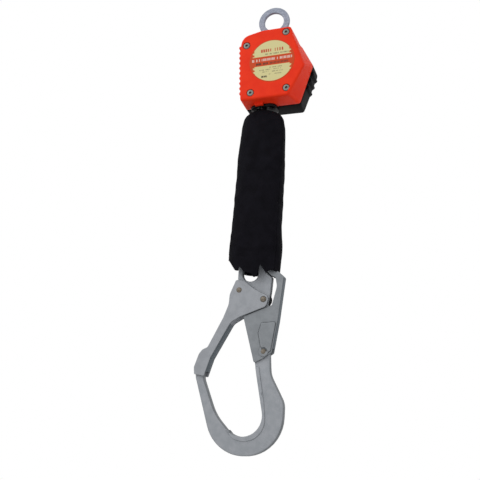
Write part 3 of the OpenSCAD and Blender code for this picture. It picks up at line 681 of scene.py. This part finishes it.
def along_table(table, at):
    """Value of a table of pairs at each place, with its corners eased by a running mean."""
    table = np.array(table, float)
    steps = np.linspace(-1, 1, 9)[:, None]
    reach = np.clip(np.abs(at) * 0.06, 0.3, 7)
    return np.interp(at[None] + steps * reach[None], table[:, 0], table[:, 1]).mean(0)


def ridge(x, z, a, b, high, wide):
    """Height of a fold: a bell across the line from a to b that fades at its ends."""
    a, b = np.array(a, float), np.array(b, float)
    d = b - a
    t = ((x - a[0]) * d[0] + (z - a[1]) * d[1]) / (d @ d)
    near = np.clip(t, 0, 1)
    gap = np.hypot(x - a[0] - near * d[0], z - a[1] - near * d[1])
    fade = np.clip(np.minimum(t + 0.15, 1.15 - t) * 3, 0, 1)
    return high * np.exp(-(gap / wide) ** 2) * fade


def cover_surface(sides, rows, wall):
    """Cover as a function of angle and level: flattened ovals whose widths follow the side tables,
    cut off at the hem, with folds, a side seam and slow ripples pushed along the oval's normal."""
    a = np.linspace(0, 2 * pi, sides, endpoint=False)[None]
    share = np.linspace(0, 1, rows)[:, None] ** 1.08
    c, s = np.cos(a), np.sin(a)
    power = 2 / 2.35
    ox, oy = np.sign(c) * abs(c) ** power, np.sign(s) * abs(s) ** power
    hem_x = 31 * ox - 0.0
    shift = HOOK_PLACE[0] - LANYARD_PLACE[0]
    hook_x, hook_z = float(shift @ SIDEWAYS), float(shift @ UPWARD)
    front = np.interp(hem_x - hook_x, *np.array(HEM_FRONT, float).T)
    back = np.interp(hem_x - hook_x, *np.array(HEM_BACK, float).T)
    toward = smooth_step(oy, -0.2, 0.25)
    hem = hook_z + front * (1 - toward) + back * toward
    down = share * (-SLEEVE_TOP - hem)
    flat = down.ravel()
    left = along_table(SIDE_LEFT, flat).reshape(down.shape)
    right = along_table(SIDE_RIGHT, flat).reshape(down.shape)
    deep = along_table(HALF_DEPTH, flat).reshape(down.shape)
    x = np.where(ox < 0, left, right) * ox
    y = deep * oy
    z = -SLEEVE_TOP - down
    far_in = np.minimum(smooth_step(down, 2, 9), 1)
    push = sum(ridge(x, z, *f) for f in FRONT_FOLDS) * (1 - toward)
    push = push + sum(ridge(x, z, *f) for f in BACK_FOLDS) * toward
    push += 0.35 * np.sin(z * 0.11 + 3 * np.sin(a * 2 + 0.4)) * np.sin(a * 3 + z * 0.031)
    push += 0.16 * np.sin(z * 0.37 + 5 * a) * np.sin(z * 0.023 + 1.0)
    push += 0.45 * np.sin(a * 22 + 0.8 * np.sin(z * 0.2)) * np.exp(-down / 9)
    seam_a = radians(-31) + 0.0012 * (z + 110)
    off = (a - 2 * pi - seam_a + pi) % (2 * pi) - pi
    push += 0.55 * np.exp(-(off / 0.028) ** 2) - 0.5 * np.exp(-((off - 0.06) / 0.025) ** 2)
    to_edge = down - down[-1:]
    push += 0.45 * np.exp(-(to_edge / 0.9) ** 2) - 0.35 * np.exp(-((to_edge + 5.2) / 0.5) ** 2)
    nx, ny = ox / 30, oy / 17
    size = np.hypot(nx, ny)
    grow = push * far_in - wall
    return np.stack([x + grow * nx / size, y + grow * ny / size, z + np.zeros_like(x)], 2)


def weave_map(piece, wide, tall):
    """UV in metres of cloth: across is the share of the way round, up is the height."""
    mesh = piece.data
    corner = np.zeros(len(mesh.loops), np.int32)
    mesh.loops.foreach_get("vertex_index", corner)
    layer = mesh.uv_layers.new(name="weave")
    layer.data.foreach_set("uv", np.stack([wide[corner], tall[corner]], 1).astype(np.float32).ravel())


def sleeve():
    """Cloth cover: an outer and an inner wall joined at the neck and at the hem."""
    sides, rows, wall = 288, 150, 1.0
    outer = cover_surface(sides, rows, 0.0)
    inner = cover_surface(sides, rows, wall)[::-1]
    lip = (outer[-1:] + inner[:1]) / 2
    lip[..., 2] -= 0.35
    rings = np.concatenate([outer, lip, inner[::1]])
    piece = put("cover_cloth_tube", skin(rings, loop=True), LANYARD_PLACE, FINISH["cover"],
                "absorber", ["sleeve"], crease=70)
    step = np.linalg.norm(np.roll(outer, -1, 1) - outer, axis=2).sum(1)
    girth = float(step.mean()) * MM
    points = rings.reshape(-1, 3)
    turn = np.tile(np.arange(sides) / sides, len(rings))
    weave_map(piece, turn * girth, points[:, 2] * MM)
    return piece


def webbing_strap():
    """Flat strap from inside the mouth to the folded absorber: rounded strips stacked in length, fine
    enough to stretch with the payout."""
    low = (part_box("webbing_strap")[0].z / MM - MOUTH[2]) / UPWARD[2]
    rows = 120
    z = np.linspace(0.6, low, rows)
    section = box_ring(1.6, 18, 0.75, 0.0, 5, 8)
    rings = np.repeat(section[None], rows, 0)
    rings[..., 2] = z[:, None]
    rings[..., 0] += 0.12 * np.sin(z * 0.5)[:, None]
    piece = put("webbing_fine", skin(rings), LANYARD_PLACE, FINISH["webbing"], None,
                ["webbing_strap"], crease=60)
    points = rings.reshape(-1, 3)
    weave_map(piece, points[:, 1] * MM, points[:, 2] * MM)
    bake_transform(piece)
    return piece


# ---- Hook ----

def bowl_swell(xz):
    """Extra half depth of the bowl over the shank."""
    return (BOWL_H - BODY_H) * smooth_step(-xz[:, 1] - 0.25 * xz[:, 0], 97, 116)


def hook_body():
    """Forged body: one outline with softly rounded edges that swells at the bowl, a raised inner
    rim on both faces and the round bar between the horns."""
    body = plate(rounded(BODY_OUTLINE, 12, 8), -BODY_H, BODY_H, 1.5, steps=6, bow=bowl_swell)
    rim = rounded(RIM_OUTLINE, 12, 8)
    front = plate(inset(rim, 0.06), -BODY_H - RIM_LIFT, -BODY_H + 1, 0.6, bow=bowl_swell)
    back = (front[0] * [1, -1, 1], front[1])
    x = np.linspace(-13, 13, 20)
    bar = tube(np.stack([x, 0.0 * x, BAR_UP + 0.0 * x], 1), BODY_H - 0.1, 32)
    # the body's side walls take the darker finish, which is painted shade
    return put("hook_body_fine", joined([body, front, back, bar]), HOOK_PLACE, FINISH["hook_alloy"],
               "hook", ["hook_body"], painted_shade_sides=FINISH["hook_side_painted_shade"])


def mirrored(front):
    """A cheek and its twin on the other side of the middle plane."""
    return [front, (front[0] * [1, -1, 1], front[1])]


def gate():
    """Pressed channel: two cheeks with rolled edges and the web along the inner edge. The cheeks'
    side walls and the web are coloured darker as painted shade.
    """
    outline = rounded(GATE_OUTLINE, 10, 8)
    front = plate(outline, -GATE_Y[1], -GATE_Y[0], 0.75, [circle(*PIVOT, RIVET_R + 0.25, 48)], 4)
    piece = put("gate_fine", joined(mirrored(front)), HOOK_PLACE, FINISH["gate_alloy"],
                "gate", ["gate"], painted_shade_sides=FINISH["plate_side_painted_shade"])
    web = plate(rounded(GATE_WEB), -GATE_Y[0] - 0.1, GATE_Y[0] + 0.1, 0.05)
    # the web is coloured dark as painted shade
    put("gate_web_fine", web, HOOK_PLACE, FINISH["painted_shade_alloy"], "gate")
    return piece


def lock_lever():
    """Palm lever: two cheeks with a raised grip on each, and the spine along the right edge. The side
    walls and the spine are coloured darker as painted shade.
    """
    outline = rounded(LEVER_OUTLINE, 10, 10)
    front = plate(outline, -LEVER_Y[1], -LEVER_Y[0], 0.6,
                  [circle(*LEVER_PIN, RIVET_R + 0.25, 48)], 4)
    spine = plate(rounded(LEVER_SPINE), -LEVER_Y[0] - 0.1, LEVER_Y[0] + 0.1, 0.05)
    # the spine is coloured dark as painted shade
    put("lever_spine_fine", spine, HOOK_PLACE, FINISH["painted_shade_alloy"], "lock_lever")
    pad = plate(rounded(GRIP_OUTLINE, 8, 8), -LEVER_Y[1] - GRIP_LIFT, -LEVER_Y[1] + 0.4, 1.2,
                [circle(*LEVER_PIN, RIVET_R + 1.4, 48)], 5)
    return put("lock_lever_fine", joined([*mirrored(front), *mirrored(pad)]), HOOK_PLACE,
               FINISH["lever_alloy"], "lock_lever", ["lock_lever"],
               painted_shade_sides=FINISH["plate_side_painted_shade"])


def rivet(name, at, reach, body, node):
    """Set rivet: a shank with a low domed head at both ends."""
    r = RIVET_R
    dome = [(0.5, reach + 1.15), (1.6, reach + 1.05), (2.6, reach + 0.75), (r + 0.15, reach + 0.3),
            (r + 0.2, reach - 0.1), (r - 0.1, reach - 0.2)]
    profile = [(w, -y) for w, y in dome] + [(w, y) for w, y in dome[::-1]]
    return put(name, turned(profile, *at, 40), HOOK_PLACE, FINISH["rivet"], body, [node])


def torsion_spring():
    """Wire coil round the gate's pivot."""
    t = np.linspace(0, 1, 260)
    a = 2 * pi * SPRING_TURNS * t + radians(150)
    coil = np.stack([PIVOT[0] + SPRING_R * np.cos(a), SPRING_HALF * (2 * t - 1),
                     PIVOT[1] + SPRING_R * np.sin(a)], 1)
    return put("gate_spring_fine", tube(coil, WIRE_R, 12), HOOK_PLACE, FINISH["dark_wire"], "hook",
               ["gate_spring"])


# ---- Stage ----

def backdrop():
    """Large pale floor under the hanging object."""
    half = FLOOR_HALF
    mesh = bpy.data.meshes.new("floor")
    corners = [(-half, -half), (half, -half), (half, half), (-half, half)]
    mesh.from_pydata([(x, y, FLOOR_Z) for x, y in corners], [], [(0, 1, 2, 3)])
    floor = bpy.data.objects.new("floor", mesh)
    bpy.context.scene.collection.objects.link(floor)
    mesh.materials.append(finish("floor_paint", (214, 214, 214), roughness=0.9, specular=0.1))
    world = bpy.data.worlds.new("studio")
    world.use_nodes = True
    world.node_tree.nodes["Background"].inputs["Color"].default_value = (1, 1, 1, 1)
    world.node_tree.nodes["Background"].inputs["Strength"].default_value = 1.0
    bpy.context.scene.world = world


def area_light(name, at, aim, size, power):
    """Square soft light that looks at a point."""
    light = bpy.data.lights.new(name, "AREA")
    light.size, light.energy = size, power
    lamp = bpy.data.objects.new(name, light)
    bpy.context.scene.collection.objects.link(lamp)
    lamp.location = at
    way = np.array(aim) - np.array(at)
    lamp.rotation_euler = Vector(way.tolist()).to_track_quat("-Z", "Y").to_euler()


def camera():
    """Long lens from below and a little to the right."""
    data = bpy.data.cameras.new("view")
    data.lens, data.sensor_width = 57.75, 36
    eye = bpy.data.objects.new("view", data)
    eye.location = (0.2034, -0.8398, -0.5242)
    eye.rotation_euler = (radians(105.5), 0, radians(16.5))
    bpy.context.scene.collection.objects.link(eye)
    bpy.context.scene.camera = eye


def build():
    """Everything, in the order of assembly."""
    paint_frame()
    front_shell()
    rear_shell()
    label_disc()
    cover_screws()
    mouth_guide()
    anchor_plate()
    sleeve()
    webbing_strap()
    hook_body()
    gate()
    lock_lever()
    rivet("gate_pivot_fine", PIVOT, GATE_Y[1] + 0.1, "hook", "gate_pivot_rivet")
    rivet("gate_stop_fine", STOP, GATE_Y[1], "gate", "gate_stop_rivet")
    rivet("lever_rivet_fine", LEVER_PIN, LEVER_Y[1] + 0.4, "hook", "lever_rivet")
    torsion_spring()
    backdrop()
    camera()
    area_light("key", (-0.9, -1.3, 0.8), (0, 0, -0.2), 1.0, 9)
    bpy.context.scene.view_settings.view_transform = "Standard"


build()
